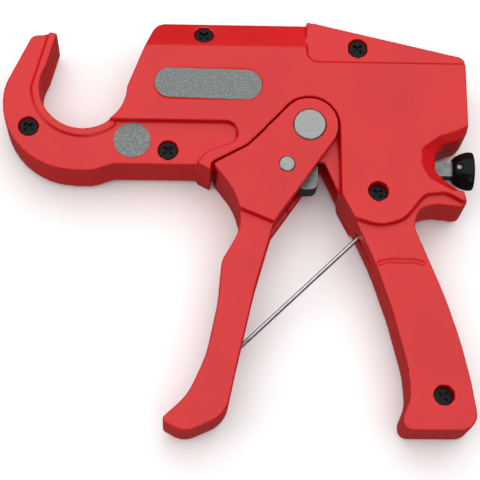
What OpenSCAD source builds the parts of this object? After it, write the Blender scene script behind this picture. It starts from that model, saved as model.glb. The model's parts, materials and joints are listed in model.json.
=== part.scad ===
// Ratchet cutter for plastic pipe, lying on its back.
// The pivot pin's axis is the origin, +Z comes out of the front face.

/* [Case] */
// From the pivot axis to the outside of the hook
hook_reach = 122.5; // [110:0.5:135]
// From the pivot axis to the rear edge
case_rear = 63.7; // [58:0.1:70]
// From the pivot axis to the top edge
case_top = 45.2; // [42:0.1:50]
// From the pivot axis to the foot of the handle
grip_drop = 122.2; // [112:0.1:132]
// Thickness over the two main faces
case_thickness = 26; // [26:0.5:30]
// How far the hook and the handle lie below the main face
step_depth = 3; // [2:0.1:3.5]
// Radius that the corner shares are taken of
corner_size = 10; // [9:0.5:11]
// Floor of the case over the mechanism
floor_thickness = 2; // [1.6:0.1:2.2]
// How deep the top edge slopes down
slope_drop = 5.5; // [4:0.1:6]
// How wide the sloping strip is
slope_width = 12; // [10:0.1:13]
// How far the rear panel lies below the main face
panel_drop = 1.5; // [1:0.1:2]

/* [Jaw] */
// Radius of the largest pipe
jaw_r = 17.5; // [16:0.1:18]
// Width of the raised lip around the jaw
lip_width = 3.2; // [2:0.1:4]
// Height of the raised lip
lip_height = 1.2; // [0.6:0.1:1.6]
// Diameter of the round plate
disc_d = 14.6; // [12:0.1:14.8]

/* [Blade] */
// Thickness of the blade
blade_thickness = 2; // [1.6:0.1:2.2]
// How far the blade slides
blade_travel = 39; // [38:0.5:40]
// Gap on each side of the blade
blade_gap = 0.2; // [0.15:0.05:0.3]
// Length of the ground bevel
blade_bevel = 3; // [2:0.1:4]

/* [Ratchet] */
// Module of the pinion and the rack
gear_module = 1.25; // [1.2:0.01:1.3]
// Teeth of the pinion
pinion_teeth = 16; // [16:1:16]
// Teeth of the ratchet wheel
ratchet_teeth = 16; // [14:1:18]
// Tip radius of the ratchet wheel
ratchet_r = 12.8; // [12.5:0.1:13]
// Thickness of the ratchet wheel
ratchet_width = 3.4; // [3:0.1:3.5]

/* [Lever] */
// From the pivot axis to the foot of the lever
lever_drop = 124; // [116:0.5:130]
// Radius of the lever around the pivot
boss_r = 11.5; // [11:0.1:12]
// Gap between the lever and the case
groove = 0.6; // [0.5:0.05:0.8]
// Thickness of the lever's upper cheeks
cheek_thickness = 4.7; // [4:0.1:4.8]
// Thickness of the lever's lower cheeks
grip_wall = 2.5; // [2:0.1:3]
// Thickness of the lever's finger side
web_thickness = 3.2; // [2.6:0.1:3.6]

/* [Pins] */
// Diameter of the pivot pin
pivot_d = 13; // [12:0.1:13.4]
// Diameter of the pawl pin
pawl_pin_d = 6.4; // [5.5:0.1:6.6]
// Height of the pins above the main face
pin_proud = 0.5; // [0.2:0.1:0.8]
// Diameter of a screw's head
screw_head_d = 7; // [6.4:0.1:7.2]
// Diameter of a screw's thread
screw_d = 3.5; // [3:0.1:3.8]

/* [Release] */
// Diameter of the knob
knob_d = 15.6; // [14:0.1:16.4]
// Length of the knob
knob_length = 8.6; // [7.5:0.1:9]
// Width of the rod across the front
rod_height = 6; // [5:0.1:6.2]
// Thickness of the rod
rod_thickness = 5.2; // [4.6:0.1:5.4]

/* [Springs] */
// Wire of the lever spring
lever_wire_d = 1.7; // [1.4:0.1:1.8]
// Mean radius of the lever spring's coil
lever_coil_r = 4.5; // [4:0.1:4.6]
// Wire of the return spring
return_wire_d = 0.9; // [0.7:0.1:1]
// Curls of the return spring
return_curls = 20; // [16:1:30]

/* [Hidden] */
$fn = 48;

// Clearances that the fits share
overrun = 1;
running_fit = 0.05;
press_fit = 0.02;
side_gap = 0.3;
slide_gap = 0.1;
facet_angle = 7.5;

// Levels through the thickness
mid = case_thickness / 2;
face_top = case_thickness;
low_top = case_thickness - step_depth;
core_top = case_thickness - cheek_thickness - side_gap;
pocket_top = core_top - floor_thickness;
pocket_depth = pocket_top - mid;
panel_top = face_top - panel_drop;
washer_thickness = 0.9;
wheel_bottom = mid - pocket_depth + washer_thickness + slide_gap;
wheel_top = wheel_bottom + ratchet_width;
blade_bottom = mid - blade_thickness / 2;
pinion_width = 3.5;
pinion_top = wheel_top + pinion_width;
hold_bottom = wheel_bottom + slide_gap;
hold_top = wheel_top - slide_gap;

// Places on the case, as shares of its reach in each direction
function at_share(x_share, y_share) = [
    x_share * (x_share < 0 ? hook_reach : case_rear),
    y_share * (y_share < 0 ? grip_drop : case_top)
];
function on_case(shares) = [
    for (s = shares) concat(at_share(s[0], s[1]), s[2] * corner_size)
];

// Corner rounding of an outline of corners, each with its radius
function unit(v) = v / norm(v);
function flat(p) = [p.x, p.y];
half_turn = 180;
function corner_turn(a, b, c) = half_turn - acos(max(-1, min(1, unit(a - b) * unit(c - b))));
function corner_side(a, b, c) = (b.x - a.x) * (c.y - b.y) - (b.y - a.y) * (c.x - b.x) > 0 ? 1 : -1;
function corner_arc(a, b, c, r, turn, side, steps) =
    let (
        half = (half_turn - turn) / 2,
        centre = b + unit(unit(a - b) + unit(c - b)) * r / sin(half),
        first = b + unit(a - b) * r / tan(half),
        from = atan2(first.y - centre.y, first.x - centre.x)
    )
    [for (i = [0 : steps]) let (a = from + side * turn * i / steps) centre + r * [cos(a), sin(a)]];
function rounded(corners, grow = 0) = [
    for (i = [0 : len(corners) - 1])
        let (
            n = len(corners),
            a = flat(corners[(i + n - 1) % n]),
            b = flat(corners[i]),
            c = flat(corners[(i + 1) % n]),
            turn = corner_turn(a, b, c),
            side = corner_side(a, b, c),
            moved = b - grow * side * unit(unit(a - b) + unit(c - b)) / sin((half_turn - turn) / 2),
            r = max(0, corners[i].z + side * grow),
            steps = max(1, ceil(turn / facet_angle))
        )
        each (r > 0 ? corner_arc(moved + a - b, moved, moved + c - b, r, turn, side, steps) : [moved])
];

// A plate of one outline
module plate(corners, bottom, top, grow = 0) {
    translate([0, 0, bottom])
        linear_extrude(height = top - bottom)
            polygon(rounded(corners, grow));
}

module loft(rings) {
    n = len(rings[0]);
    last = len(rings) - 1;
    sides = [
        for (k = [0 : last - 1], i = [0 : n - 1])
            let (a = k * n + i, b = (k + 1) * n + i, c = (k + 1) * n + (i + 1) % n, d = k * n + (i + 1) % n)
            each [[a, b, c], [a, c, d]]
    ];
    polyhedron(
        points = [for (ring = rings) each ring],
        faces = concat([[for (i = [0 : n - 1]) i]], sides, [[for (i = [n - 1 : -1 : 0]) last * n + i]])
    );
}

module rod_between(place, d, bottom, top) {
    translate([place.x, place.y, bottom])
        cylinder(h = top - bottom, d = d);
}

module flipped() {
    translate([0, 0, case_thickness])
        mirror([0, 0, 1])
            children();
}

// One unbroken wire along a route, its section carried along without twist
function route_tangents(p) = [
    for (i = [0 : len(p) - 1]) unit(p[min(i + 1, len(p) - 1)] - p[max(i - 1, 0)])
];
function route_normals(t) = [
    for (i = 0, n = unit(cross(t[0], [0.3, 0.5, 0.8])); i < len(t);
        i = i + 1, n = i < len(t) ? unit(n - (n * t[i]) * t[i]) : n) n
];
module wire(route, r, sides) {
    tangents = route_tangents(route);
    normals = route_normals(tangents);
    loft([
        for (i = [0 : len(route) - 1])
            [for (k = [0 : sides - 1])
                route[i] + r * (cos(360 * k / sides) * normals[i]
                    + sin(360 * k / sides) * cross(tangents[i], normals[i]))]
    ]);
}
function least_gap(route, d, skip) = min([
    for (i = [0 : len(route) - 1], j = [i + skip : len(route) - 1])
        if (j < len(route)) norm(route[i] - route[j]) - d
]);

// The lever's plan: two tangents to the boss, then the shares down the grip
edge_normal = -35;
shoulder_normal = 137;
shoulder_run = 22.8;
edge_run = 41.5;
open_run = 28;
shoulder_round = 12;
tangent_share = 0.97;
cheek_corner = 1.8;
toe_share = [-0.3097, -0.1363, 0.08];
cheek_step_share = 0.47;
grip_shares = [
    [-0.236, -0.234, 2.5], [-0.215, -0.335, 1.8], [-0.281, -0.45, 0.9], [-0.292, -0.581, 4],
    [-0.328, -0.754, 4], [-0.384, -0.879, 2.5], [-0.47, -0.958, 0.18], [-0.395, -1, 0.9],
    [-0.266, -0.942, 1.2], [-0.233, -0.786, 4], [-0.173, -0.524, 6]
];
function on_lever(shares) = [for (s = shares) [s[0] * lever_drop, s[1] * lever_drop, s[2] * corner_size]];
function tangent_corner(r, a, b) =
    concat(r / cos((b - a) / 2) * [cos((a + b) / 2), sin((a + b) / 2)], r * tangent_share);
function tangent_corners(r) = [
    tangent_corner(r, 0, 45), tangent_corner(r, 45, 90), tangent_corner(r, 90, shoulder_normal),
    concat(down_shoulder(r, shoulder_run), shoulder_round)
];
function down_edge(r, run) =
    r * [cos(edge_normal), sin(edge_normal)] + run * [sin(edge_normal), -cos(edge_normal)];
function down_shoulder(r, run) =
    r * [cos(shoulder_normal), sin(shoulder_normal)] + run * [-sin(shoulder_normal), cos(shoulder_normal)];
toe = on_lever([toe_share])[0];
grip_top = on_lever([grip_shares[0]])[0];
grip_waist = on_lever([grip_shares[1]])[0];
cheek_step = flat(grip_top) + cheek_step_share * (flat(grip_waist) - flat(grip_top));
cheek_corners = concat(
    [toe, grip_top, concat(cheek_step, 0)],
    [concat(down_edge(boss_r, edge_run), 0), tangent_corner(boss_r, edge_normal, 0)],
    tangent_corners(boss_r)
);
grip_corners = concat(
    [toe], on_lever(grip_shares), [concat(down_edge(boss_r, edge_run), 0)],
    [concat(down_edge(boss_r, open_run), cheek_corner)]
);
channel_side = lever_drop;
channel_corners = concat(
    [[toe.x, 0, 0]], [toe], [for (i = [0 : 8]) on_lever(grip_shares)[i]],
    [[channel_side, -lever_drop, 0], [channel_side, 0, 0]]
);

// The case's plan, once for the whole body and once for its raised part
jaw_share = [-0.739, 0.341];
jaw_at = at_share(jaw_share.x, jaw_share.y);
jaw_lean_share = 0.379;
hook_shares = [
    [-0.829, 0.869, 0.06], [-0.856, 0.856, 0.1], [-0.913, 0.841, 0.35], [-1, 0.332, 2.2],
    [-1, -0.16, 2.9], [-0.702, -0.16, 0.8], [-0.637, -0.137, 0.8], [-0.367, -0.137, 0.15]
];
handle_shares = [
    [0.261, -0.299, 1], [0.392, -0.454, 6], [0.495, -0.622, 6], [0.578, -0.802, 3], [0.587, -0.896, 1.2],
    [0.537, -0.959, 0.3], [0.545, -1, 0.35], [1.003, -1, 0.65], [0.958, -0.843, 6], [0.901, -0.708, 9],
    [0.819, -0.569, 9], [0.691, -0.397, 3], [0.642, -0.336, 0.8], [0.68, -0.275, 0.5], [0.785, -0.26, 1],
    [0.895, -0.266, 1], [1.006, -0.28, 0.3]
];
notch_shares = [
    [0.965, -0.221, 0.6], [0.848, -0.177, 0.5], [0.79, -0.143, 0.4], [0.791, -0.083, 0.5],
    [0.848, -0.052, 0.4], [0.95, -0.038, 0.4], [1, -0.011, 0.25]
];
top_shares = [[1, 0.673, 0.3], [0.008, 1, 2]];
face_shares = [[-0.235, 0.024, 0.45], [-0.235, -0.059, 0.4], [-0.333, -0.095, 0.5], [-0.367, -0.137, 0.05]];
root_shares = [
    [0.44, -0.343, 1.4], [0.584, -0.316, 1], [0.713, -0.232, 0.6], [0.848, -0.227, 0.6],
    [0.967, -0.262, 0.1]
];
core_low = -14;
core_left = toe.x - groove;
core_right_share = 0.091;
core_step = 5;
toe_low = -20;
toe_round = 0.6;
front_corner_round = 5.5;
front_top = [jaw_at.x + jaw_r + jaw_lean_share * (case_top - jaw_at.y), case_top, front_corner_round];
hook_tip = on_case(hook_shares)[0];
body_lean = unit([jaw_lean_share, 1]);
hook_lean = unit(flat(hook_tip) - [jaw_at.x - jaw_r, jaw_at.y]);
jaw_right = concat(jaw_at + jaw_r * body_lean.y * [body_lean.y, -body_lean.x], 0);
jaw_left = concat(jaw_at + jaw_r * hook_lean.y * [-hook_lean.y, hook_lean.x], 0);
recess_right = boss_r + groove;
recess_turn = [recess_right + slide_gap, -28.5, corner_size / 3];
core_corners = [
    [core_left, toe_low, toe_round], [core_left, toe.y + groove / 2, 0],
    [core_left + core_step, core_low, 0], [core_right_share * case_rear, core_low, 1.5], recess_turn
];
case_corners = concat(
    on_case(hook_shares), core_corners, on_case(handle_shares), on_case(notch_shares), on_case(top_shares),
    [front_top, jaw_right, jaw_left]
);
lip_r = jaw_r + lip_width;
lip_from = 180;
lip_turn = 130;
lip_steps = 13;
lip_end = flat(hook_tip) - lip_width * hook_lean / 4;
lip_corners = concat(
    [for (i = [0 : lip_steps])
        let (a = lip_from + lip_turn * i / lip_steps) concat(jaw_at + lip_r * [cos(a), sin(a)], 0)],
    [concat(jaw_at, 0), jaw_left, concat(lip_end, 0),
        concat(lip_end + lip_width * [-hook_lean.y, hook_lean.x], lip_width / 4)]
);
root_start = [17.3, -38.6, 0.5];
face_left = jaw_at.x + jaw_r / 2;
face_corners = concat(
    [concat(face_left, face_shares[0][1] * case_top, 0)], on_case(face_shares), core_corners, [root_start],
    on_case(root_shares), on_case(notch_shares), on_case(top_shares), [front_top, jaw_right]
);
recess_low = -48;
recess_end = [19.4, recess_low, 0];
recess_corners = concat(
    [[core_left, recess_low, 0], recess_end, [root_start.x - slide_gap, root_start.y, 0], recess_turn],
    tangent_corners(boss_r + groove), [[core_left, toe.y + groove, 0]]
);

// Fasteners: place as shares, then the height of the head's top
head_height = 2.4;
head_depth = 1;
grip_head_depth = 4;
root_head_depth = 3.5;
screw_shares = [
    [-0.913, -0.011], [-0.46, -0.087], [-0.346, 0.867], [0.314, 0.75], [0.421, -0.226], [0.79, -0.888]
];
screw_places = [for (s = screw_shares) at_share(s.x, s.y)];
screw_tops = [
    low_top - head_depth, low_top - head_depth, low_top - head_depth, panel_top - head_depth,
    face_top - root_head_depth, low_top - grip_head_depth
];
screw_hole_gap = 0.2;
counterbore_gap = 0.5;
screw_end = 6;
dowel_d = 3;
dowel_length = 12;
dowel_shares = [[-0.776, -0.09], [0.66, -0.221]];
dowel_places = [for (s = dowel_shares) at_share(s.x, s.y)];

// The blade's plan and the rack under its tail
pitch_r = gear_module * pinion_teeth / 2;
tooth_pitch = PI * gear_module;
rack_root = pitch_r + 1.25 * gear_module;
rack_tip = pitch_r - gear_module;
backlash = 0.08;
pressure_angle = 20;
blade_under = 1.4;
blade_over = 0.9;
nose_inset = 0.3;
nose_share = 0.48;
heel_share = 1.515;
blade_low = jaw_at.y - jaw_r - blade_under;
blade_high = jaw_at.y + jaw_r + blade_over;
blade_nose = [jaw_at.x + jaw_r - nose_inset, jaw_at.y - nose_share * jaw_r];
blade_heel = jaw_at.x + heel_share * jaw_r;
blade_rear = -15;
bar_top = 20;
bar_end = 52;
rack_first = -2;
rack_last = 12;
blade_lean = blade_nose.x + jaw_lean_share * (blade_high - blade_nose.y);
function rack_tooth(x) =
    let (
        half = tooth_pitch / 4 - backlash / 2,
        tip = half - gear_module * tan(pressure_angle),
        root = half + (rack_root - pitch_r) * tan(pressure_angle)
    )
    [[x - root, rack_root], [x - tip, rack_tip], [x + tip, rack_tip], [x + root, rack_root]];
blade_outline = concat(
    [blade_nose, [blade_heel, blade_low], [blade_rear, blade_low], [blade_rear, rack_root]],
    [for (k = [rack_first : rack_last]) each rack_tooth(k * tooth_pitch)],
    [[bar_end, rack_root], [bar_end, bar_top], [blade_rear, bar_top], [blade_rear, blade_high],
        [blade_lean, blade_high]]
);

// The mechanism's pocket and the blade's slot, cut from both covers alike
pocket_round = 1.5;
pocket_side = 0.8;
heel_wall = 5;
guide_height = 2.8;
guide_length = 22;
pocket_left = blade_heel + heel_wall;
pocket_high = blade_high + pocket_side;
guide_low = blade_low - slide_gap - guide_height;
guide_left = pocket_left + pocket_round;
guide_right = guide_left + guide_length;
pocket_step = guide_right + pocket_round;
pocket_corners = [
    [pocket_left, guide_low, pocket_round], [pocket_step, guide_low, pocket_round],
    [pocket_step, -12, pocket_round], [-17, -12, 0], [-17, -26, 0], [20.5, -26, pocket_round],
    [23, -22.8, pocket_round], [47.5, -22.8, pocket_round], [47.5, -6.5, pocket_round],
    [53.5, -2, pocket_round], [60.5, -0.5, pocket_round], [60.5, 27, pocket_round],
    [50, 30.2, pocket_round], [4, 30.2, pocket_round], [4, pocket_high, pocket_round],
    [pocket_left, pocket_high, pocket_round]
];
slot_depth = 1.2;
slot_corners = [
    [blade_nose.x - blade_travel - slot_depth, blade_nose.y, 0],
    [blade_heel - blade_travel - slot_depth, blade_low - slot_depth / 2, 0],
    [pocket_left + slide_gap, blade_low - slot_depth / 2, 0],
    [pocket_left + slide_gap, blade_high + slot_depth / 2, 0],
    [blade_lean - blade_travel - slot_depth, blade_high + slot_depth / 2, 0]
];
slot_half = blade_thickness / 2 + blade_gap;
relief_from = 226;
relief_turn = 56;
relief_gap = 0.6;
pin_reach = 19.15;
pin_angle = 241.3;
pawl_at = pin_reach * [cos(pin_angle), sin(pin_angle)];

// Handle inside: the spring's coil, the slot for its leg and a lightening pocket
coil_at = [30.8, -38.9];
coil_pocket_r = 6.6;
grip_pocket_floor = 2.3;
grip_pocket_top = low_top - grip_pocket_floor;
lever_leg_angle = 223.7;
leg_slot_half = 1.5;
leg_slot_corners = [
    [27, -34, 0], [13.5, -46.9, 0], [18, -59, 0], [24.6, -56.2, 0], [32, -41, 0]
];
grip_pocket_corners = [
    [32, -61, 3], [41, -98, 3], [55.5, -98, 3], [45.5, -61, 3]
];

// Release rod, its bush and the holding pawl
rod_y = -14.4;
rod_left = 13.6;
rod_end = 63;
rod_step = 27;
rod_inner_bottom = wheel_top + 0.4;
bush_left = 47.5;
bush_right = 50;
bush_wall = 1.4;
hold_at = [19, -21];
hold_pin_d = 4;
peg_d = 2.5;
peg_x = 18;
peg_slot_gap = 0.25;
peg_slot_length = 1;
knob_left = 58.1;
scoop_low_shares = [
    [1.177, -0.011], [1, -0.011], [0.95, -0.038], [0.848, -0.052], [0.791, -0.083], [0.79, -0.143],
    [0.848, -0.177], [0.965, -0.221], [1.177, -0.221]
];
scoop_high_shares = [
    [1.177, 0.013], [0.985, 0.004], [0.95, -0.008], [0.82, -0.03], [0.695, -0.077], [0.691, -0.135],
    [0.735, -0.177], [0.871, -0.218], [1.177, -0.218]
];
scoop_bottom = low_top - 1;

// Bare plates on the front
name_length = 43;
name_height = 12.6;
name_depth = 0.6;
name_gap = 0.6;
name_thickness = 0.4;
name_tilt = -1.2;
name_at = at_share(-0.331, 0.376);
disc_at = at_share(-0.577, -0.0545);
disc_thickness = 0.25;

// Everything that both covers share, drawn for the front half
module half_solid() {
    plate(case_corners, mid, low_top);
    plate(face_corners, low_top, face_top);
    plate(lip_corners, low_top - slide_gap, low_top + lip_height);
}

module half_cuts() {
    translate([jaw_at.x, jaw_at.y, 0])
        cylinder(h = case_thickness + overrun, r = jaw_r);
    plate(recess_corners, core_top, face_top + overrun);
    plate(pocket_corners, mid - overrun, pocket_top);
    plate(slot_corners, mid - overrun, mid + slot_half);
    slope_cut();
    panel_cut();
    scoop_cut();
    translate([0, 0, mid - overrun])
        rotate([0, 0, relief_from])
            rotate_extrude(angle = relief_turn)
                translate([pin_reach - pawl_pin_d / 2 - relief_gap, 0])
                    square([pawl_pin_d + 2 * relief_gap, case_thickness]);
    rod_between([0, 0], pivot_d + 2 * press_fit, 0, face_top + overrun);
    rod_between(hold_at, hold_pin_d + 2 * press_fit, 0, pocket_top + floor_thickness / 2);
    rod_between(anchor_at, anchor_d + 2 * press_fit, 0, pocket_top + floor_thickness / 2);
    rod_between(coil_at, 2 * coil_pocket_r, 0, grip_pocket_top);
    rod_between(coil_at, post_d + 2 * press_fit, 0, grip_pocket_top + floor_thickness / 2);
    plate(leg_slot_corners, 0, mid + leg_slot_half);
    plate(grip_pocket_corners, 0, grip_pocket_top);
    for (place = dowel_places)
        rod_between(place, dowel_d + 2 * press_fit, mid - dowel_length / 2, mid + dowel_length / 2);
    translate([bush_left, rod_y - rod_height / 2 - bush_wall - press_fit, 0])
        cube([bush_right - bush_left + 2 * overrun, rod_height + 2 * bush_wall + 2 * press_fit,
            mid + rod_thickness / 2 + bush_wall + press_fit]);
}

module slope_cut() {
    slope_left = front_top.x - corner_size;
    slope_length = -slope_left - panel_left;
    translate([slope_left, 0, 0])
        rotate([90, 0, 90])
            linear_extrude(height = slope_length)
                polygon([
                    [case_top - slope_width, face_top],
                    [case_top + overrun, face_top - slope_drop - overrun * slope_drop / slope_width],
                    [case_top + overrun, face_top + overrun],
                    [case_top - slope_width, face_top + overrun]
                ]);
}

panel_left = 0.7;
panel_low = 27.2;
panel_round = 4.5;
module panel_cut() {
    plate([
        [-panel_left, case_top + overrun, 0], [-panel_left, panel_low, panel_round],
        [case_rear + overrun, panel_low, 0], [case_rear + overrun, case_top + overrun, 0]
    ], panel_top, face_top + overrun);
}

module scoop_cut() {
    low = [for (s = scoop_low_shares) at_share(s.x, s.y)];
    high = [for (s = scoop_high_shares) at_share(s.x, s.y)];
    loft([[for (p = low) [p.x, p.y, scoop_bottom]], [for (p = high) [p.x, p.y, face_top + slide_gap]]]);
}

module front_cover() {
    color([0.84, 0.13, 0.12])
        difference() {
            half_solid();
            half_cuts();
            for (i = [0 : len(screw_places) - 1]) {
                rod_between(screw_places[i], screw_d + 2 * screw_hole_gap, 0, face_top);
                rod_between(screw_places[i], screw_head_d + 2 * counterbore_gap,
                    screw_tops[i] - head_height, face_top + overrun);
            }
            translate([name_at.x, name_at.y, face_top - name_depth])
                stadium(name_length + 2 * name_gap, name_height + 2 * name_gap, name_depth + overrun);
        }
}

module rear_cover() {
    color([0.84, 0.13, 0.12])
        difference() {
            flipped()
                difference() {
                    half_solid();
                    half_cuts();
                }
            for (place = screw_places)
                rod_between(place, screw_d + 2 * press_fit, screw_end - slide_gap, mid + overrun);
        }
}

module stadium(length, height, thickness) {
    straight = length - height;
    translate([-straight / 2, -height / 2, 0])
        cube([straight, height, thickness]);
    for (side = [-1, 1])
        translate([side * straight / 2, 0, 0])
            cylinder(h = thickness, d = height);
}

cross_length = 4.6;
cross_width = 1.3;
cross_depth = 1.3;
module case_screws() {
    color([0.06, 0.06, 0.07])
        for (i = [0 : len(screw_places) - 1])
            difference() {
                union() {
                    rod_between(screw_places[i], screw_head_d, screw_tops[i] - head_height, screw_tops[i]);
                    rod_between(screw_places[i], screw_d, screw_end, screw_tops[i] - head_height);
                }
                for (turn = [45, 135])
                    translate([screw_places[i].x, screw_places[i].y, screw_tops[i] - cross_depth])
                        rotate([0, 0, turn])
                            translate([-cross_length / 2, -cross_width / 2, 0])
                                cube([cross_length, cross_width, cross_depth + overrun]);
            }
}

module dowel_pins() {
    color([0.7, 0.7, 0.7])
        for (place = dowel_places)
            rod_between(place, dowel_d, mid - dowel_length / 2, mid + dowel_length / 2);
}

module trigger_lever() {
    color([0.86, 0.14, 0.13])
        difference() {
            union() {
                plate(cheek_corners, core_top + side_gap, face_top);
                plate(cheek_corners, 0, case_thickness - core_top - side_gap);
                difference() {
                    plate(grip_corners, step_depth, low_top);
                    plate(channel_corners, step_depth + grip_wall, low_top - grip_wall, -web_thickness);
                }
            }
            rod_between([0, 0], pivot_d + 2 * running_fit, -overrun, face_top + overrun);
            rod_between(pawl_at, pawl_pin_d + 2 * press_fit, -overrun, face_top + overrun);
        }
}

pin_chamfer = 0.4;
module headed_pin(place, d) {
    rod_between(place, d, 0, face_top + pin_proud - pin_chamfer);
    translate([place.x, place.y, face_top + pin_proud - pin_chamfer])
        cylinder(h = pin_chamfer, d1 = d, d2 = d - 2 * pin_chamfer);
}

module pivot_pin() {
    color([0.66, 0.66, 0.65])
        headed_pin([0, 0], pivot_d);
}

module pawl_pin() {
    color([0.66, 0.66, 0.65])
        headed_pin(pawl_at, pawl_pin_d);
}

// The wheel's teeth have their steep face behind, as the wheel turns
function wheel_outline() = [
    for (k = [0 : ratchet_teeth - 1])
        let (a = 360 * k / ratchet_teeth, pitch = 360 / ratchet_teeth)
        each [
            tooth_root_r * [cos(a), sin(a)],
            ratchet_r * [cos(a), sin(a)],
            ratchet_r * [cos(a + pitch * land_share), sin(a + pitch * land_share)],
            tooth_root_r * [cos(a + pitch * foot_share), sin(a + pitch * foot_share)]
        ]
];
land_share = 0.16;
foot_share = 0.86;
tooth_height = 1.9;
tooth_root_r = ratchet_r - tooth_height;
module ratchet_wheel() {
    color([0.55, 0.56, 0.58])
        difference() {
            translate([0, 0, wheel_bottom])
                linear_extrude(height = ratchet_width)
                    polygon(wheel_outline());
            rod_between([0, 0], pivot_d + 2 * running_fit, 0, face_top);
        }
}

// Involute flanks of the pinion, a gap of which meets the rack at its top
base_r = pitch_r * cos(pressure_angle);
pinion_tip_r = pitch_r + gear_module;
pinion_root_r = pitch_r - 1.25 * gear_module;
flank_steps = 3;
function involute_angle(r) = r <= base_r ? 0 : tan(acos(base_r / r)) * 180 / PI - acos(base_r / r);
function half_tooth(r) =
    (tooth_pitch / 2 - backlash) / (2 * pitch_r) * 180 / PI + involute_angle(pitch_r) - involute_angle(r);
function flank_r(i) = base_r + (pinion_tip_r - base_r) * i / flank_steps;
function pinion_outline() = [
    for (k = [0 : pinion_teeth - 1])
        let (a = 90 + (k + 0.5) * 360 / pinion_teeth)
        each concat(
            [pinion_root_r * [cos(a - half_tooth(base_r)), sin(a - half_tooth(base_r))]],
            [for (i = [0 : flank_steps])
                flank_r(i) * [cos(a - half_tooth(flank_r(i))), sin(a - half_tooth(flank_r(i)))]],
            [for (i = [flank_steps : -1 : 0])
                flank_r(i) * [cos(a + half_tooth(flank_r(i))), sin(a + half_tooth(flank_r(i)))]],
            [pinion_root_r * [cos(a + half_tooth(base_r)), sin(a + half_tooth(base_r))]]
        )
];
module drive_pinion() {
    color([0.62, 0.62, 0.63])
        difference() {
            translate([0, 0, wheel_top])
                linear_extrude(height = pinion_width)
                    polygon(pinion_outline());
            rod_between([0, 0], pivot_d + 2 * running_fit, 0, face_top);
        }
}

washer_width = 2.2;
module ring_at(bottom, top, bore, width) {
    difference() {
        rod_between([0, 0], bore + 2 * width, bottom, top);
        rod_between([0, 0], bore, bottom - overrun, top + overrun);
    }
}

module thrust_washer() {
    color([0.72, 0.55, 0.3])
        ring_at(mid - pocket_depth, mid - pocket_depth + washer_thickness,
            pivot_d + 2 * running_fit, washer_width);
}

module hub_spacer() {
    color([0.72, 0.55, 0.3])
        ring_at(pinion_top + slide_gap, pocket_top, pivot_d + 2 * running_fit, washer_width);
}

// Pawl in the lever that drives the wheel
pawl_half = 4.5;
pawl_hub_r = 4.6;
pawl_hub_top = 14.4;
pawl_corners = [
    [-9.4, -21.4, 1.5], [-1.8, -24.6, 2.5], [3.8, -24.2, 3], [3.8, -14.2, 0.6], [1.7, -12.95, 0.2],
    [-1.4, -14.3, 1.5], [-9.4, -15.2, 0]
];
module drive_pawl() {
    color([0.7, 0.7, 0.7])
        difference() {
            union() {
                rod_between(pawl_at, 2 * pawl_hub_r, mid - pawl_half, pawl_hub_top);
                difference() {
                    plate(pawl_corners, mid - pawl_half, mid + pawl_half);
                    rod_between(pawl_at, 2 * pawl_hub_r + 2 * side_gap, pawl_hub_top, face_top);
                }
            }
            rod_between(pawl_at, pawl_pin_d + 2 * running_fit, 0, face_top);
        }
}

// Springs
function helix(r, rise, curls, bottom, start) = [
    for (i = [0 : 8 * curls])
        [r * cos(start + 45 * i), r * sin(start + 45 * i), bottom + rise * i / 8]
];
pawl_spring_wire = 0.7;
pawl_spring_r = 3.9;
pawl_spring_rise = 1.25;
pawl_spring_start = 200;
pawl_spring_bottom = pawl_hub_top + pawl_spring_wire / 2 + slide_gap;
pawl_spring_route = [
    for (p = helix(pawl_spring_r, pawl_spring_rise, 2, pawl_spring_bottom, pawl_spring_start))
        p + [pawl_at.x, pawl_at.y, 0]
];
module pawl_spring() {
    color([0.6, 0.6, 0.62])
        wire(pawl_spring_route, pawl_spring_wire / 2, 6);
}

hold_spring_wire = 0.7;
hold_spring_r = 2.9;
hold_spring_start = 90;
hold_spring_bottom = hold_top + hold_spring_wire / 2 + slide_gap;
hold_spring_route = [
    for (p = helix(hold_spring_r, pawl_spring_rise, 3, hold_spring_bottom, hold_spring_start))
        p + [hold_at.x, hold_at.y, 0]
];
module holding_pawl_spring() {
    color([0.6, 0.6, 0.62])
        wire(hold_spring_route, hold_spring_wire / 2, 6);
}

// The return spring lies along X between the blade and its anchor
return_y = 26.2;
return_r = 2.6;
return_tail = 2;
anchor_at = [56, return_y];
anchor_d = 3.6;
return_from = blade_rear;
return_to = anchor_at.x - anchor_d / 2;
return_rise = (return_to - return_from - 2 * return_tail) / return_curls;
return_route = concat(
    [[return_from, return_y, mid], [return_from + return_tail / 2, return_y, mid]],
    [for (p = helix(return_r, return_rise, return_curls, return_from + return_tail, 0))
        [p.z, return_y + p.x, mid + p.y]],
    [[return_to - return_tail / 2, return_y, mid], [return_to, return_y, mid]]
);
module return_spring() {
    color([0.6, 0.6, 0.62])
        wire(return_route, return_wire_d / 2, 6);
}

module spring_anchor() {
    color([0.7, 0.7, 0.7])
        rod_between(anchor_at, anchor_d, mid - pocket_depth - floor_thickness / 2,
            pocket_top + floor_thickness / 2);
}

// The lever's spring: a coil in the handle, and the leg that swings with the lever
post_d = 6;
coil_rise = 2.3;
coil_curls = 2;
leg_ring_turn = 270;
leg_tangent = lever_leg_angle - 90;

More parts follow.
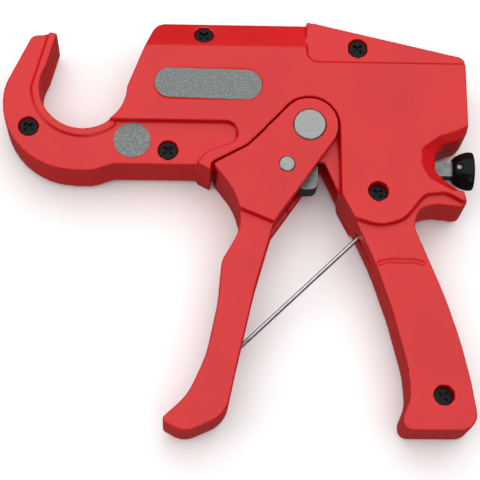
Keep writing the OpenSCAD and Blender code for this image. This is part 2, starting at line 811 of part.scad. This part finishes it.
// The leg ends just short of the inside of the lever's finger side
leg_tip_gap = 3;
leg_start = coil_at + lever_coil_r * [cos(leg_tangent), sin(leg_tangent)];
leg_way = [cos(lever_leg_angle), sin(lever_leg_angle)];
finger_from = flat(on_lever(grip_shares)[3]);
finger_way = unit(flat(on_lever(grip_shares)[4]) - finger_from);
finger_inside = finger_from + web_thickness * [-finger_way.y, finger_way.x];
leg_length = cross(finger_inside - leg_start, finger_way) / cross(leg_way, finger_way) - leg_tip_gap;
coil_route = [
    for (p = helix(lever_coil_r, coil_rise, coil_curls, mid - coil_rise * (coil_curls + 1), leg_tangent))
        p + [coil_at.x, coil_at.y, 0]
];
leg_route = concat(
    [for (i = [0 : 12])
        let (a = leg_tangent - leg_ring_turn + leg_ring_turn * i / 12)
        [coil_at.x + lever_coil_r * cos(a), coil_at.y + lever_coil_r * sin(a), mid]],
    [for (share = [1 / 12, 1 / 2, 1]) concat(leg_start + share * leg_length * leg_way, mid)]
);
module lever_spring_coil() {
    color([0.6, 0.6, 0.62])
        wire(coil_route, lever_wire_d / 2, 8);
}

module lever_spring_leg() {
    color([0.6, 0.6, 0.62])
        wire(leg_route, lever_wire_d / 2, 8);
}

module spring_post() {
    color([0.7, 0.7, 0.7])
        rod_between(coil_at, post_d, case_thickness - grip_pocket_top - floor_thickness / 2,
            grip_pocket_top + floor_thickness / 2);
}

echo(return_gap = least_gap(return_route, return_wire_d, 6));
echo(pawl_spring_gap = least_gap(pawl_spring_route, pawl_spring_wire, 6));
echo(hold_spring_gap = least_gap(hold_spring_route, hold_spring_wire, 6));
echo(coil_gap = least_gap(coil_route, lever_wire_d, 6));
echo(leg_gap = least_gap(leg_route, lever_wire_d, 6));

// The blade, ground to an edge on both of its leading sides
module edge_grind(from, to) {
    way = to - from;
    run = norm(way);
    translate([from.x, from.y, mid])
        rotate([0, 0, atan2(way.y, way.x)])
            for (side = [-1, 1])
                rotate([90, 0, 90])
                    translate([0, 0, -overrun])
                        linear_extrude(height = run + 2 * overrun)
                            polygon([
                                [-overrun, side * edge_land / 2],
                                [blade_bevel, side * blade_thickness / 2],
                                [blade_bevel, side * blade_thickness],
                                [-overrun, side * blade_thickness]
                            ]);
}

edge_land = 0.3;
module cutting_blade() {
    color([0.75, 0.76, 0.78])
        difference() {
            translate([0, 0, blade_bottom])
                linear_extrude(height = blade_thickness)
                    polygon(blade_outline);
            edge_grind(blade_nose, [blade_heel, blade_low]);
            edge_grind([blade_lean, blade_high], blade_nose);
        }
}

module blade_guide() {
    color([0.12, 0.12, 0.13])
        translate([guide_left, guide_low, mid - pocket_depth])
            cube([guide_length, guide_height, 2 * pocket_depth]);
}

rail_left = -12;
rail_right = 22;
rail_height = 2.6;
module rack_rail() {
    color([0.12, 0.12, 0.13])
        translate([rail_left, bar_top + slide_gap, mid - pocket_depth])
            cube([rail_right - rail_left, rail_height, 2 * pocket_depth]);
}

// The holding pawl lies in the wheel's plane, on its own pin
hold_hub_r = 3.2;
hold_corners = [
    [16, -21.5, 0], [12.65, -3.4, 0.2], [15.6, -2.6, 0.4], [21.6, -11.5, 3], [22.2, -21.5, 0]
];
module holding_pawl() {
    lift = rod_y - hold_at.y;
    peg_lean = atan2(peg_x - hold_at.x, lift);
    color([0.7, 0.7, 0.7])
        difference() {
            union() {
                rod_between(hold_at, 2 * hold_hub_r, hold_bottom, hold_top);
                plate(hold_corners, hold_bottom, hold_top);
            }
            rod_between(hold_at, hold_pin_d + 2 * running_fit, 0, face_top);
            translate([hold_at.x, hold_at.y, 0])
                rotate([0, 0, -peg_lean])
                    translate([0, norm([lift, peg_x - hold_at.x]), 0])
                        rotate([0, 0, 90])
                            stadium(peg_d + 2 * peg_slot_gap + peg_slot_length,
                                peg_d + 2 * peg_slot_gap, face_top);
        }
}

module holding_pawl_pin() {
    color([0.66, 0.66, 0.65])
        rod_between(hold_at, hold_pin_d, mid - pocket_depth - floor_thickness / 2,
            pocket_top + floor_thickness / 2);
}

module release_rod() {
    color([0.25, 0.26, 0.27])
        difference() {
            union() {
                translate([rod_left, rod_y - rod_height / 2, rod_inner_bottom])
                    cube([rod_end - rod_left, rod_height, mid + rod_thickness / 2 - rod_inner_bottom]);
                translate([rod_step, rod_y - rod_height / 2, mid - rod_thickness / 2])
                    cube([rod_end - rod_step, rod_height, rod_thickness]);
                rod_between([peg_x, rod_y], peg_d, hold_bottom, rod_inner_bottom + slide_gap);
            }
            rod_between([knob_pin_x, rod_y], knob_pin_d + 2 * press_fit, 0, face_top);
        }
}

module rod_bush() {
    color([0.08, 0.08, 0.09])
        difference() {
            translate([bush_left, rod_y - rod_height / 2 - bush_wall, mid - rod_thickness / 2 - bush_wall])
                cube([bush_right - bush_left, rod_height + 2 * bush_wall, rod_thickness + 2 * bush_wall]);
            translate([bush_left - overrun, rod_y - rod_height / 2 - slide_gap,
                mid - rod_thickness / 2 - slide_gap])
                cube([bush_right - bush_left + 2 * overrun, rod_height + 2 * slide_gap,
                    rod_thickness + 2 * slide_gap]);
        }
}

// The knob's profile: how far along, then its radius, both as shares
knob_pin_x = 60.8;
knob_pin_d = 2;
knob_pin_length = 11;
knob_profile_shares = [
    [0, 0], [0, 0.58], [0.15, 0.75], [0.42, 0.91], [0.7, 1], [0.95, 1], [1, 0.96], [1, 0]
];
module release_knob() {
    color([0.03, 0.03, 0.035])
        difference() {
            translate([knob_left, rod_y, mid])
                rotate([90, 0, 90])
                    rotate_extrude()
                        polygon([for (s = knob_profile_shares) [s.y * knob_d / 2, s.x * knob_length]]);
            translate([knob_left - overrun, rod_y - rod_height / 2 - press_fit,
                mid - rod_thickness / 2 - press_fit])
                cube([rod_end - knob_left + overrun + press_fit, rod_height + 2 * press_fit,
                    rod_thickness + 2 * press_fit]);
            rod_between([knob_pin_x, rod_y], knob_pin_d + 2 * press_fit, 0, face_top);
        }
}

module knob_pin() {
    color([0.3, 0.3, 0.31])
        rod_between([knob_pin_x, rod_y], knob_pin_d, mid - knob_pin_length / 2, mid + knob_pin_length / 2);
}

module name_plate() {
    color([0.42, 0.44, 0.43])
        translate([name_at.x, name_at.y, face_top - name_depth])
            rotate([0, 0, name_tilt])
                stadium(name_length, name_height, name_thickness);
}

module jaw_disc() {
    color([0.42, 0.44, 0.43])
        rod_between(disc_at, disc_d, low_top, low_top + disc_thickness);
}

front_cover();
rear_cover();
case_screws();
dowel_pins();
trigger_lever();
pivot_pin();
pawl_pin();
drive_pawl();
pawl_spring();
ratchet_wheel();
drive_pinion();
thrust_washer();
hub_spacer();
cutting_blade();
blade_guide();
rack_rail();
return_spring();
spring_anchor();
holding_pawl();
holding_pawl_pin();
holding_pawl_spring();
release_rod();
rod_bush();
release_knob();
knob_pin();
lever_spring_coil();
lever_spring_leg();
spring_post();
name_plate();
jaw_disc();
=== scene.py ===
import json
import math

import bpy
from mathutils import Matrix, Vector


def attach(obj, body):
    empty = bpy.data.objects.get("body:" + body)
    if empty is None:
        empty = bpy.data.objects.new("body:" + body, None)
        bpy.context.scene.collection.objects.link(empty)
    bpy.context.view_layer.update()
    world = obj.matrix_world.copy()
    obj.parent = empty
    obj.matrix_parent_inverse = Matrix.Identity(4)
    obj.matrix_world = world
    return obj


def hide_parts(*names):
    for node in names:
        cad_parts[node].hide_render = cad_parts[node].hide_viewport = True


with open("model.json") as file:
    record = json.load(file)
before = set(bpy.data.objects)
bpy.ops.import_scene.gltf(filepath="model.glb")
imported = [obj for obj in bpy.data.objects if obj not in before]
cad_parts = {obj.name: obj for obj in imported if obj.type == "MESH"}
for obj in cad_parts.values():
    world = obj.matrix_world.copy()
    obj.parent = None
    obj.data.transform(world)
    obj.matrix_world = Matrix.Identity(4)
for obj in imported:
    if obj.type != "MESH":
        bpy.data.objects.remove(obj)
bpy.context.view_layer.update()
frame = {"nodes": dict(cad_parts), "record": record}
mm = 0.001
caseThickness = 26.0
weldGap = 0.002  # mm, points closer than this become one
flatTurn = 0.5  # degrees, faces closer than this become one
smoothTurn = 50  # degrees, edges sharper than this stay sharp

camera = {
    "place": (-52.65, -234.3, 627.3),  # mm, above the foot of the tool
    "right": (0.9991, 0.0, 0.0412),
    "down": (0.0122, -0.9550, -0.2945),
    "lens": 121.5,
    "sensor": 36.0,
}


def addCamera():
    data = bpy.data.cameras.new("viewCamera")
    data.lens = camera["lens"]
    data.sensor_width = camera["sensor"]
    data.clip_start = 0.01
    seen = bpy.data.objects.new("viewCamera", data)
    bpy.context.scene.collection.objects.link(seen)
    right = Vector(camera["right"]).normalized()
    up = -Vector(camera["down"])
    up = (up - up.dot(right) * right).normalized()
    back = right.cross(up)
    turn = Matrix((right, up, back)).transposed().to_4x4()
    seen.matrix_world = Matrix.Translation(Vector(camera["place"]) * mm) @ turn
    bpy.context.scene.camera = seen


def pickOnly(obj):
    if bpy.context.object and bpy.context.object.mode != "OBJECT":
        bpy.ops.object.mode_set(mode="OBJECT")
    bpy.ops.object.select_all(action="DESELECT")
    obj.select_set(True)
    bpy.context.view_layer.objects.active = obj


def copyOfNode(node, name):
    source = frame["nodes"][node]
    piece = bpy.data.objects.new(name, source.data.copy())
    bpy.context.scene.collection.objects.link(piece)
    piece.data.materials.clear()
    pickOnly(piece)
    bpy.ops.object.mode_set(mode="EDIT")
    bpy.ops.mesh.select_all(action="SELECT")
    bpy.ops.mesh.remove_doubles(threshold=weldGap * mm)
    bpy.ops.mesh.dissolve_limited(angle_limit=math.radians(flatTurn))
    bpy.ops.object.mode_set(mode="OBJECT")
    return piece


def applyAll(piece):
    pickOnly(piece)
    for modifier in list(piece.modifiers):
        bpy.ops.object.modifier_apply(modifier=modifier.name)


def shadeSoft(piece):
    pickOnly(piece)
    bpy.ops.object.shade_smooth_by_angle(angle=math.radians(smoothTurn))
    weighted = piece.modifiers.new("weighted", "WEIGHTED_NORMAL")
    weighted.keep_sharp = True
    applyAll(piece)


def softenPiece(piece, plan, softness, lift):  # even mesh, then edges melt where softness(x, y, z) is over 0
    pickOnly(piece)
    even = piece.modifiers.new("even", "REMESH")
    even.mode = "VOXEL"
    even.voxel_size = plan["grid"] * mm
    bpy.ops.object.modifier_apply(modifier="even")
    group = piece.vertex_groups.new(name="soft")
    for vertex in piece.data.vertices:
        if lift:  # carves the line of the grip panel
            vertex.co.z += lift(*(vertex.co / mm)) * mm
        share = softness(*(vertex.co / mm))
        if share > 0:
            group.add([vertex.index], share, "REPLACE")
    melt = piece.modifiers.new("melt", "SMOOTH")
    melt.factor = 0.5
    melt.iterations = plan["repeats"]
    melt.vertex_group = "soft"
    thin = piece.modifiers.new("thin", "DECIMATE")
    thin.ratio = plan["keep"]
    applyAll(piece)
    piece.vertex_groups.clear()
    shadeSoft(piece)


def startMaterial(name):
    material = bpy.data.materials.new(name)
    material.use_nodes = True
    tree = material.node_tree
    return material, tree.nodes, tree.links, tree.nodes["Principled BSDF"]


def objectNoise(nodes, links, scale, detail=3.0, stretch=(1, 1, 1)):
    place = nodes.new("ShaderNodeTexCoord")
    mapping = nodes.new("ShaderNodeMapping")
    mapping.inputs["Scale"].default_value = stretch
    noise = nodes.new("ShaderNodeTexNoise")
    noise.inputs["Scale"].default_value = scale
    noise.inputs["Detail"].default_value = detail
    links.new(place.outputs["Object"], mapping.inputs["Vector"])
    links.new(mapping.outputs["Vector"], noise.inputs["Vector"])
    return noise


def rampOf(nodes, links, source, low, high, atLow=0.35, atHigh=0.65):
    ramp = nodes.new("ShaderNodeValToRGB")
    ramp.color_ramp.elements[0].position = atLow
    ramp.color_ramp.elements[1].position = atHigh
    ramp.color_ramp.elements[0].color = (*low, 1)
    ramp.color_ramp.elements[1].color = (*high, 1)
    links.new(source, ramp.inputs["Fac"])
    return ramp


def rangeOf(nodes, links, source, low, high):
    span = nodes.new("ShaderNodeMapRange")
    span.inputs["From Min"].default_value = 0.3
    span.inputs["From Max"].default_value = 0.7
    span.inputs["To Min"].default_value = low
    span.inputs["To Max"].default_value = high
    links.new(source, span.inputs["Value"])
    return span


def bumpOf(nodes, links, source, strength, depth):
    bump = nodes.new("ShaderNodeBump")
    bump.inputs["Strength"].default_value = strength
    bump.inputs["Distance"].default_value = depth * mm
    links.new(source, bump.inputs["Height"])
    return bump


redPaint = {
    "low": (0.5, 0.001, 0.0015),
    "high": (0.55, 0.002, 0.003),
    "roughness": (0.33, 0.36),
    "shine": 0.4,
    "peelScale": 700.0,
    "peelStrength": 0.06,
}


def makeRedPaint():
    material, nodes, links, shader = startMaterial("redPaint")
    shader.inputs["Specular IOR Level"].default_value = redPaint["shine"]
    cloud = objectNoise(nodes, links, 35.0)
    peel = objectNoise(nodes, links, redPaint["peelScale"], 2.0)
    links.new(rampOf(nodes, links, cloud.outputs["Fac"], redPaint["low"], redPaint["high"]).outputs["Color"],
              shader.inputs["Base Color"])
    links.new(rangeOf(nodes, links, cloud.outputs["Fac"], *redPaint["roughness"]).outputs["Result"],
              shader.inputs["Roughness"])
    links.new(bumpOf(nodes, links, peel.outputs["Fac"], redPaint["peelStrength"], 0.05).outputs["Normal"],
              shader.inputs["Normal"])
    return material


def makeMetal(name, low, high, roughness, scale, stretch=(1, 1, 1), bump=0.05, metallic=1.0, shine=0.5):
    material, nodes, links, shader = startMaterial(name)
    shader.inputs["Metallic"].default_value = metallic
    shader.inputs["Specular IOR Level"].default_value = shine
    grain = objectNoise(nodes, links, scale, 4.0, stretch)
    links.new(rampOf(nodes, links, grain.outputs["Fac"], low, high).outputs["Color"],
              shader.inputs["Base Color"])
    links.new(rangeOf(nodes, links, grain.outputs["Fac"], *roughness).outputs["Result"],
              shader.inputs["Roughness"])
    links.new(bumpOf(nodes, links, grain.outputs["Fac"], bump, 0.03).outputs["Normal"],
              shader.inputs["Normal"])
    return material


def makePlastic(name, low, high, roughness, scale=400.0, bump=0.05, shine=0.5):
    return makeMetal(name, low, high, roughness, scale, bump=bump, metallic=0.0, shine=shine)


def makePlateLacquer():  # grey with fine light flakes
    material, nodes, links, shader = startMaterial("plateLacquer")
    flake = objectNoise(nodes, links, 1700.0, 1.0)
    links.new(rampOf(nodes, links, flake.outputs["Fac"], (0.115, 0.125, 0.12), (0.26, 0.275, 0.265), 0.5, 0.72)
              .outputs["Color"], shader.inputs["Base Color"])
    links.new(rangeOf(nodes, links, flake.outputs["Fac"], 0.45, 0.6).outputs["Result"],
              shader.inputs["Roughness"])
    return material


print("scene: camera and finishes")
addCamera()
finishes = {
    "red_casting": makeRedPaint(),
    "black_screws": makeMetal("blackOxide", (0.002, 0.002, 0.0025), (0.005, 0.005, 0.006), (0.2, 0.3), 900.0,
                              metallic=0.0, shine=0.12),
    "ground_steel": makeMetal("groundSteel", (0.22, 0.22, 0.215), (0.29, 0.29, 0.285), (0.42, 0.55), 900.0),
    "hardened_steel": makeMetal("hardenedSteel", (0.1, 0.105, 0.105), (0.17, 0.175, 0.175), (0.3, 0.45), 500.0),
    "bronze": makeMetal("bearingBronze", (0.35, 0.2, 0.07), (0.45, 0.27, 0.1), (0.35, 0.5), 500.0),
    "blade_steel": makeMetal("bladeSteel", (0.26, 0.26, 0.27), (0.36, 0.36, 0.37), (0.22, 0.34), 300.0,
                             (1, 12, 1)),
    "guide_plastic": makePlastic("guidePlastic", (0.012, 0.012, 0.013), (0.02, 0.02, 0.022), (0.45, 0.6)),
    "spring_steel": makeMetal("springSteel", (0.36, 0.36, 0.37), (0.48, 0.48, 0.5), (0.3, 0.42), 700.0),
    "knob_plastic": makePlastic("knobPlastic", (0.003, 0.003, 0.0035), (0.006, 0.006, 0.007), (0.14, 0.2),
                                300.0, 0.01, 0.1),
    "grey_plate": makePlateLacquer(),
}
slotOf = {part["node"]: part["material_slot"] for part in frame["record"]["subparts"]}
for node, obj in frame["nodes"].items():
    obj.data.materials.clear()
    obj.data.materials.append(finishes[slotOf[node]])

# grid in mm, repeats of the smoothing, keep is the share of faces that stays
casePlan = {
    "grid": 0.5, "repeats": 9, "keep": 0.4,
    "from": 19.9, "full": 20.8,  # mm, heights between which the edges start to melt
    "nearScrew": 4.4,  # mm, stays sharp round each screw
}
gripPanel = {
    "y": -55.4, "middle": 35.6, "half": 9.5, "arch": 1.6,  # where the line crosses the handle
    "line": 0.7, "depth": 0.8, "above": 22.5,  # its half width and depth, on faces above this height
    "melt": 0.3, "meltLines": 3,  # melts less within this many half widths
}
knobPlan = {"grid": 0.22, "repeats": 36, "keep": 0.5}
pawlPlan = {"grid": 0.2, "repeats": 10, "keep": 0.4, "below": -22}
leverPlan = {
    "grid": 0.4, "repeats": 14, "keep": 0.5,
    "grip": 1.0, "step": 0.7, "cheek": 0.35, "stepFrom": -32, "gripFrom": -42,
    "pins": [(0, 0, 8), (-9.2, -16.8, 4.5)],  # places with the radius that stays sharp
}
screwPlaces = [  # mm
    (-111.8, -1.3), (-56.4, -10.6), (-42.4, 39.2), (20.0, 33.9), (26.8, -27.6), (50.3, -108.5),
]


def heightOf(z, isRear):
    return caseThickness - z if isRear else z


def fromPanelLine(x, y):  # height above the arched line across the handle
    share = (x - gripPanel["middle"]) / gripPanel["half"]
    return y - gripPanel["y"] + gripPanel["arch"] * share ** 6 if abs(share) < 1 else 99.0


def caseSoftness(isRear):
    def softness(x, y, z):
        if min(math.hypot(x - sx, y - sy) for sx, sy in screwPlaces) < casePlan["nearScrew"]:
            return 0.0
        share = (heightOf(z, isRear) - casePlan["from"]) / (casePlan["full"] - casePlan["from"])
        share = min(1.0, max(0.0, share))
        nearLine = abs(fromPanelLine(x, y)) < gripPanel["meltLines"] * gripPanel["line"]
        return share * gripPanel["melt"] if nearLine else share
    return softness


def caseLift(isRear):
    def lift(x, y, z):
        if heightOf(z, isRear) < gripPanel["above"] or abs(fromPanelLine(x, y)) > gripPanel["line"]:
            return 0.0
        return gripPanel["depth"] if isRear else -gripPanel["depth"]
    return lift


def leverSoftness(x, y, z):
    if any(math.hypot(x - px, y - py) < reach for px, py, reach in leverPlan["pins"]):
        return 0.0
    if y > leverPlan["stepFrom"]:
        return leverPlan["cheek"]
    return leverPlan["grip"] if y < leverPlan["gripFrom"] else leverPlan["step"]


def knobSoftness(x, y, z):
    return 1.0


def pawlSoftness(x, y, z):
    return 1.0 if y < pawlPlan["below"] else 0.0


def makeSoftPiece(node, name, body, plan, softness, lift=None):
    piece = copyOfNode(node, name)
    softenPiece(piece, plan, softness, lift)
    piece.data.materials.append(finishes[slotOf[node]])
    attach(piece, body)
    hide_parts(node)


print("scene: case halves")
makeSoftPiece("front_cover", "frontShell", "housing", casePlan, caseSoftness(False), caseLift(False))
makeSoftPiece("rear_cover", "rearShell", "housing", casePlan, caseSoftness(True), caseLift(True))
print("scene: lever")
makeSoftPiece("trigger_lever", "squeezeLever", "lever", leverPlan, leverSoftness)
print("scene: knob and pawl")
makeSoftPiece("release_knob", "pullKnob", "release", knobPlan, knobSoftness)
makeSoftPiece("drive_pawl", "drivingPawl", "driving_pawl", pawlPlan, pawlSoftness)

studio = {
    "floor": 3.0,  # metres, as the places and sizes of the lamps
    "under": 0.3,  # mm, so that the floor never touches the tool
    "aim": (-0.03, -0.04, 0.0),
    "above": {"place": (0.0, 0.2, 0.9), "size": 2.0, "power": 23.5},
    "left": {"place": (-1.3, -0.2, 0.6), "size": 0.7, "power": 3.5},
    "front": {"place": (0.3, -1.3, 0.6), "size": 0.7, "power": 2.5},
    "world": 0.08,
}


def addLight(name, place, size, power):
    data = bpy.data.lights.new(name, "AREA")
    data.shape = "SQUARE"
    data.size = size
    data.energy = power
    lamp = bpy.data.objects.new(name, data)
    bpy.context.scene.collection.objects.link(lamp)
    toTool = Vector(studio["aim"]) - Vector(place)
    lamp.matrix_world = Matrix.Translation(Vector(place)) @ toTool.to_track_quat("-Z", "Y").to_matrix().to_4x4()


def makeStudio():
    bpy.ops.object.select_all(action="DESELECT")
    bpy.ops.mesh.primitive_plane_add(size=studio["floor"], location=(0, 0, -studio["under"] * mm))
    floor = bpy.context.object
    floor.name = "studioFloor"
    material, nodes, links, shader = startMaterial("paleFloor")
    cloud = objectNoise(nodes, links, 4.0)
    links.new(rampOf(nodes, links, cloud.outputs["Fac"], (0.9, 0.9, 0.9), (0.93, 0.93, 0.93)).outputs["Color"],
              shader.inputs["Base Color"])
    shader.inputs["Roughness"].default_value = 0.8
    floor.data.materials.append(material)
    floor.visible_glossy = False  # keeps the side walls deep red
    for name in ("above", "left", "front"):
        addLight(name, studio[name]["place"], studio[name]["size"], studio[name]["power"])
    world = bpy.data.worlds.new("studioAir")
    world.use_nodes = True
    world.node_tree.nodes["Background"].inputs["Color"].default_value = (1, 1, 1, 1)
    world.node_tree.nodes["Background"].inputs["Strength"].default_value = studio["world"]
    bpy.context.scene.world = world
    bpy.context.scene.view_settings.view_transform = "Standard"


print("scene: floor and light")
makeStudio()
